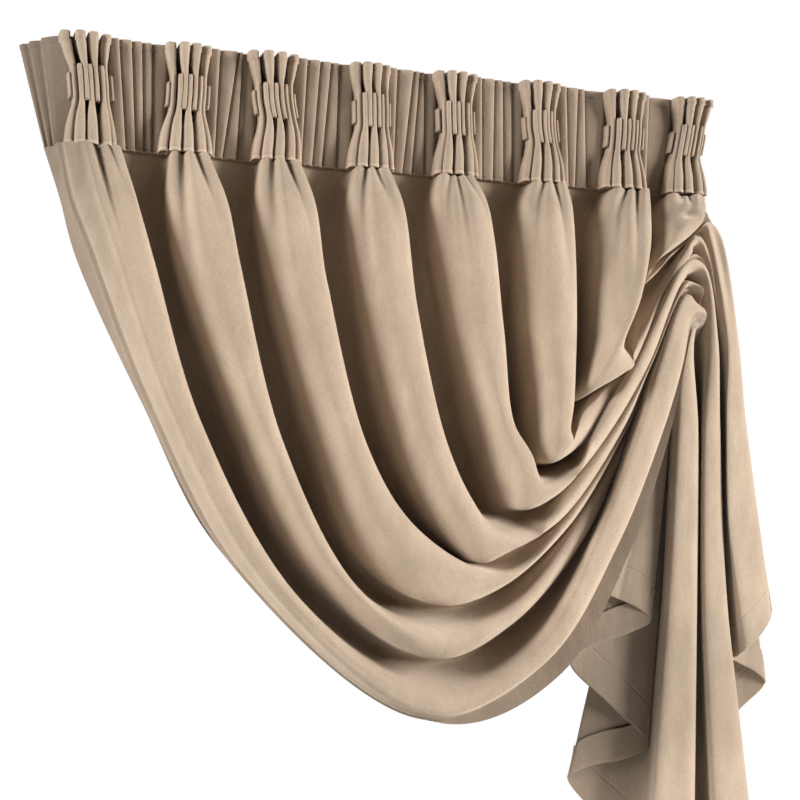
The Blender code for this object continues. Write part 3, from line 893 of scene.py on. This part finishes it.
def cluster_width(c, z):
    """A cluster's width at one level."""
    return np.interp(-z, (0, -WAIST_TOP, -WAIST_FOOT, HEADING_DROP),
                     (c["top_w"], c["waist_w"], c["waist_w"], c["foot_w"]))


def cluster_middle(c, z):
    """Where a cluster's middle line runs: it leans as a whole, and bows and slants at the waist."""
    lean = c["lean"] * (-z / HEADING_DROP - LEAN_CENTRE)
    middle = (WAIST_TOP + WAIST_FOOT) / 2
    reach = SLANT_ABOVE if z > middle else SLANT_BELOW
    slant = 0.5 * c["slant"] * math.sin(0.5 * math.pi * min(2, max(-1, (middle - z) / reach)))
    bow = c["bow"] * math.sin(math.pi * min(1, max(0, (-z - BOW_START) / BOW_LENGTH)))
    return c["x"] + lean + slant + bow


def tube_keys(c, tube, shift):
    """Key levels of one tube as rows of z, x, width and nose."""
    at_top, at_waist, at_foot, top_w, waist_w, foot_w, behind = tube
    rows = []

    def level(z, share, width, out):
        place = cluster_middle(c, z) + share * cluster_width(c, z) + shift
        rows.append((z, place, width, -out + behind))

    if at_top is not None:
        for z, nearer, narrower, back in UPPER_LEVELS:
            share = at_top * (1 - nearer) + at_waist * nearer
            level(z, share, top_w * (1 - narrower) + waist_w * narrower, c["out_top"] - back)
    for z, part, out in WAIST_LEVELS:
        level(z, at_waist, waist_w * part, out)
    if at_foot is not None:
        for z, nearer, wider, back in LOWER_LEVELS:
            share = at_waist * (1 - nearer) + at_foot * nearer
            level(z, share, waist_w * (1 - wider) + foot_w * wider, c["out_foot"] - back)
    return np.array(rows, float)


def edge_rows(row, table):
    """Rows of a hem or a lip, from the tube's row that they start from."""
    _, x, width, nose = row
    return [(z, x, width + wider, nose + back) for z, wider, back in table]


def cap_rows(row, way):
    """Rows of the flat cap where a tube is cut, up (1) or down (-1) from the cut."""
    z, x, width, nose = row
    return [(z + way * past, x, share * width, nose + back) for past, share, back in TUBE_CAP]


def tube_loft(c, tube, shift):
    """One folded tube, with its turned hem, its stitched lip or its caps."""
    keys = tube_keys(c, tube, shift)
    rows = smooth_along(keys, [STEPS_BETWEEN_LEVELS] * (len(keys) - 1))
    if tube[0] is not None:
        rows = np.vstack([edge_rows(rows[0], TUBE_HEM), rows[rows[:, 0] < TUBE_HEM_FOOT]])
    else:
        rows = np.vstack([cap_rows(rows[0], -1)[::-1], rows[1:]])
    if tube[2] is not None:
        rows = np.vstack([rows, edge_rows(rows[-1], TUBE_LIP)])
    else:
        rows = np.vstack([rows[:-1], cap_rows(rows[-1], 1)])
    return np.array([hairpin(*row) for row in rows])


def web_loft(c):
    """The cloth that closes the gaps between the lower tubes."""
    top = WEB_LEVELS[0]
    sections = []
    for z in WEB_LEVELS:
        down = (z - top) / (WEB_LEVELS[-1] - top)
        nose = -c["out_foot"] + WEB_BEHIND + WEB_FUNNEL * (1 - down)
        width = WEB_SHARE * cluster_width(c, z) * (WEB_TOP_SHARE + (1 - WEB_TOP_SHARE) * down)
        sections.append(hairpin(z, cluster_middle(c, z), width, nose))
    return np.array(sections)


def tab_loft(c, side):
    """The small flat end of a slat at the side of the waist."""
    sections = []
    for z in np.linspace(*TAB_SPAN, TAB_LEVELS):
        x = cluster_middle(c, z) + side * TAB_PLACE * cluster_width(c, z)
        sections.append(hairpin(z, x, TAB_WIDTH, TAB_NOSE))
    return np.array(sections)


def make_clusters(material):
    draw = np.random.default_rng(UNEVEN_SEED)
    for number, row in enumerate(CLUSTERS, 1):
        c = dict(zip(CLUSTER_COLUMNS, row))
        lofts = [tube_loft(c, tube, draw.uniform(-UNEVEN, UNEVEN)) for tube in TUBES.values()]
        lofts += [web_loft(c)] + [tab_loft(c, side) for side in (-1, 1)]
        cluster = loft_object(f"pleats_{number}", lofts, material, CLUSTER_CLOTH)
        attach(cluster, BODY)
        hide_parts(f"pleat_cluster_{number}")


def cluster_edges(row):
    """Left and right x of a cluster at its top and its foot, where the gathers start and end."""
    c = dict(zip(CLUSTER_COLUMNS, row))
    edges = []
    for width, lean in ((c["top_w"], -LEAN_CENTRE), (c["foot_w"], 1 - LEAN_CENTRE)):
        middle = c["x"] + lean * c["lean"]
        edges.append((middle - width / 2, middle + width / 2))
    return edges


def gather_points(start, end, shares):
    """Plan points of the gathers in one gap at one level."""
    points = []
    total = sum(shares)
    x = start
    last = len(shares) - 1
    for i, share in enumerate(shares):
        width = (end - start) * share / total
        crest = GATHER_CREST[i] if i < last else GATHER_CREST[-1]
        deep = GATHER_DEEP if i < last else LAST_GATHER_DEEP
        for part, out in GATHER_PROFILE:
            points.append((x + width * part, crest + deep * (1 - out)))
        x += width
    return points


def band_line(level, reach):
    """Plan points of the whole band at its top (level 0) or its foot (level 1)."""
    points = [place[level] for place in FLAP]
    for i, row in enumerate(CLUSTERS):
        left, right = cluster_edges(row)[level]
        points += [(left + (right - left) * share, BAND_FLAT) for share in BEHIND_CLUSTER]
        if i < len(GATHERS):
            next_left = cluster_edges(CLUSTERS[i + 1])[level][0]
            points += gather_points(right - reach[0], next_left + reach[1], GATHERS[i][level])
    return np.array(points, float)


def band_plan():
    """Plan points of the band at its top and its foot."""
    return band_line(0, GAP_REACH_TOP), band_line(1, GAP_REACH_FOOT)


def band_grid():
    """The gathered band, with its turned hem at the top and a stitched line at its foot."""
    top, foot = band_plan()
    counts = [BAND_STEPS] * (len(top) - 1)
    top = smooth_along(top, counts)
    foot = smooth_along(foot, counts)
    out = np.gradient(top, axis=0)
    out = np.column_stack([out[:, 1], -out[:, 0]])
    out /= np.maximum(np.linalg.norm(out, axis=1, keepdims=True), 1e-9)
    plain = [(z, 0.0) for z in np.linspace(*BAND_PLAIN)]
    rows = []
    for z, proud in (*BAND_HEM, *plain, *BAND_FOOT):
        share = min(1.0, -z / HEADING_DROP)
        plan = top * (1 - share) + foot * share + out * proud
        rows.append(np.column_stack([plan, np.full(len(plan), z)]))
    return np.array(rows)


def make_band(material):
    band = loft_object("heading_cloth", [band_grid()], material)
    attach(band, BODY)
    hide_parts("heading_band")


def follow_gathers(grid):
    """Carries the gathers of the heading's foot on into the cloth between the folds."""
    _, foot = band_plan()
    order = np.argsort(foot[:, 0])
    along = distance_along(grid)
    columns = line_columns()
    free = np.ones(grid.shape[1])
    for fold in FOLDS:
        free[columns[f"lip_{fold}"]:columns[f"crest_{fold}"] + 1] = 0.0
    target = np.interp(grid[0, :, 0], foot[order, 0], foot[order, 1])
    reach = np.minimum(target - grid[0, :, 1], GATHERS_MOST) * free
    reach = GATHERS_PULL * np.convolve(reach, GATHERS_BLUR, mode="same")
    moved = grid.copy()
    moved[..., 1] += reach * np.clip(1 - along / GATHERS_FADE, 0, 1) ** GATHERS_EASE
    return moved


def behind_heading(grid):
    """Rows that run up behind the heading, where the cloth is sewn to it."""
    rows = []
    for z, depth in BEHIND_HEADING:
        row = grid[0].copy()
        row[:, 1] = np.maximum(row[:, 1] + BEHIND_FRONT, depth)
        row[:, 2] = z
        rows.append(row)
    return np.concatenate([np.array(rows), grid])


def turned_hem(grid, width):
    """The last row turned under: a small round edge and the hem's inner layer."""
    normals = surface_normals(grid)
    direction = grid[-1] - grid[-2]
    direction /= np.maximum(np.linalg.norm(direction, axis=-1, keepdims=True), 1e-9)
    rows = []
    for turn in np.radians(HEM_TURNS):
        rows.append(grid[-1] + TURN * (math.sin(turn) * direction - (1 - math.cos(turn)) * normals[-1]))
    marks = [HEM_INNER_START] + [share * width for share in HEM_INNER_SHARES]
    inner = rows_at(grid[::-1] - 2 * TURN * normals[::-1], marks)
    return np.concatenate([grid, np.array(rows), inner])


def stitched_hem(grid):
    """Close rows by the bottom hem, with the groove of its stitching."""
    flipped = grid[::-1]
    marks = np.array((*HEM_ROWS, *(BOTTOM_HEM + row for row in STITCH_ROWS), *ROWS_ABOVE_HEM))
    close = rows_at(flipped, marks)
    along = distance_along(flipped)
    start = int(np.argmax(along.min(axis=1) > marks[-1] + HEM_JOIN))
    joined = np.concatenate([flipped[start:][::-1], close[::-1]])
    normals = surface_normals(joined)
    groove = np.zeros(len(joined))
    groove[-1 - int(np.argmin(abs(marks - BOTTOM_HEM)))] = HEM_GROOVE
    return joined - normals * groove[:, None, None]


def panel_surface():
    """The panel's cloth with its creases, hollows, gathers and turned hems."""
    grid = follow_gathers(press_hollows(press_creases(panel_grid())))
    grid = turned_hem(behind_heading(stitched_hem(grid)), BOTTOM_HEM)
    return turned_hem(grid.transpose(1, 0, 2)[:, ::-1], SIDE_HEM)[:, ::-1].transpose(1, 0, 2)


def mark_painted_shade(piece, grid):
    """Marks where shade is painted: the leading edge's hem, and the leaves behind the tail's tubes."""
    steps = np.linalg.norm(np.diff(grid, axis=1), axis=-1)
    across = np.column_stack([np.zeros(len(grid)), np.cumsum(steps, axis=1)])
    across -= across[:, HEM_COLUMNS:HEM_COLUMNS + 1]
    mark = piece.data.attributes.new(PAINTED_SHADE_MARK, "FLOAT", "POINT")
    hem = np.clip((SIDE_HEM + PAINTED_SHADE_BORDER / 2 - across) / PAINTED_SHADE_BORDER, 0, 1)
    leaves = np.ones(hem.shape)
    for axis, start, end in LEAF_REACH:
        leaves *= np.clip((grid[..., axis] - start) / (end - start), 0, 1)
    mark.data.foreach_set("value", np.maximum(hem, leaves).astype(np.float32).ravel())


def make_panel(material):
    grid = panel_surface()
    panel = loft_object("panel_cloth", [grid], material)
    mark_painted_shade(panel, grid)
    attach(panel, BODY)
    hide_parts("panel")
    return panel


def main():
    scene = bpy.context.scene
    scene.view_settings.view_transform = "Standard"
    make_camera()
    make_lights()
    make_world()
    make_floor()
    make_panel(velvet("panel_velvet", PANEL_COLOURS, PANEL_PAINTED_SHADING, PAINTED_SHADE_FACTOR))
    make_band(velvet("heading_velvet", HEADING_SHADED_COLOURS, HEADING_PAINTED_SHADING))
    make_clusters(velvet("pleat_velvet", PLEAT_SHADED_COLOURS, PLEAT_PAINTED_SHADING))


main()
